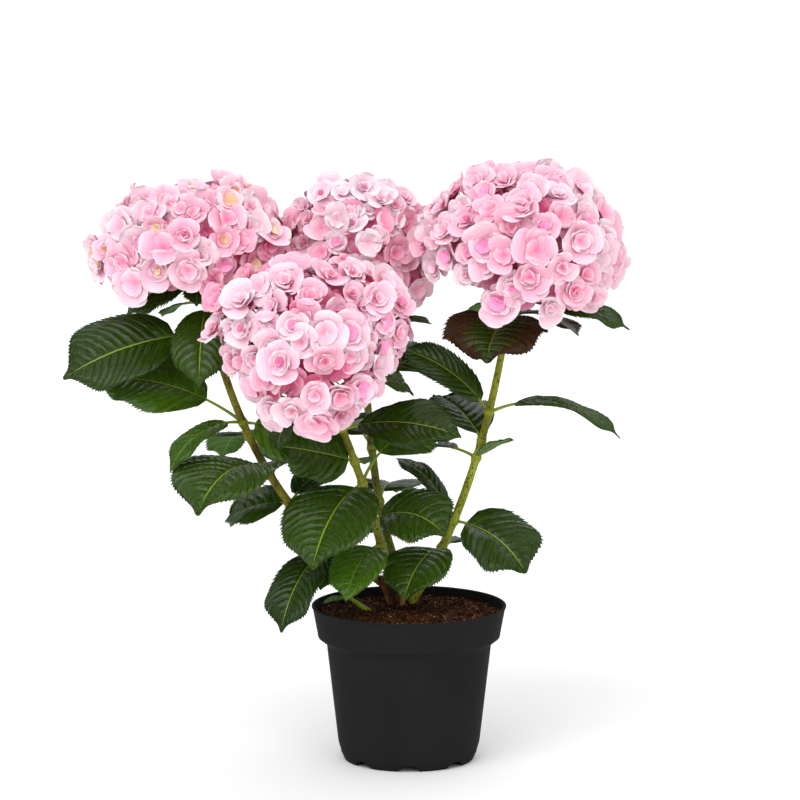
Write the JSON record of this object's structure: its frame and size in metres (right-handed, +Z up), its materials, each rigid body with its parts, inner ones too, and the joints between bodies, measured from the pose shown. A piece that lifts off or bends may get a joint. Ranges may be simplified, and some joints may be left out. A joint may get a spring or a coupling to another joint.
{
  "type": "potted hydrangea",
  "caption": "Potted hydrangea shrub with double-flowered pale pink mopheads on arching leafy canes, in a round black nursery pot.",
  "frame": {"origin": "middle of the pot's flat underside", "axes": "+Z up, -Y towards the side that the picture shows, +X to that view's right"},
  "size_m": [0.6646, 0.4614, 0.7073],
  "materials": {
    "plastic": "satin black moulded plastic",
    "compost": "damp crumbly bark-based compost",
    "old_bark": "rough brown bark",
    "green_bark": "yellow-green young bark with brown flecks",
    "leaf": "glossy quilted dark green leaf",
    "petal": "soft pale pink sepals with near-white rims"
  },
  "bodies": {
    "root": {"pot": "plastic", "soil": "compost", "woody_crown": "old_bark", "young_shoot": "leaf", "left_cane": "green_bark", "left_leaves_1": "leaf", "left_leaves_2": "leaf", "left_leaves_3": "leaf", "left_leaves_4": "leaf", "left_leaves_5": "leaf", "left_leaves_6": "leaf", "left_leaves_7": "leaf", "left_leaves_8": "leaf", "left_bloom": "petal", "front_cane": "green_bark", "front_leaves_1": "leaf", "front_leaves_2": "leaf", "front_leaves_3": "leaf", "front_leaves_4": "leaf", "front_leaves_5": "leaf", "front_leaves_6": "leaf", "front_bloom": "petal", "back_cane": "green_bark", "back_leaves_1": "leaf", "back_leaves_2": "leaf", "back_leaves_3": "leaf", "back_leaves_4": "leaf", "back_bloom": "petal", "right_cane": "green_bark", "right_leaves_1": "leaf", "right_leaves_2": "leaf", "right_leaves_3": "leaf", "right_leaves_4": "leaf", "right_leaves_5": "leaf", "right_leaves_6": "leaf", "right_leaves_7": "leaf", "right_bloom": "petal"}
  },
  "joints": []
}
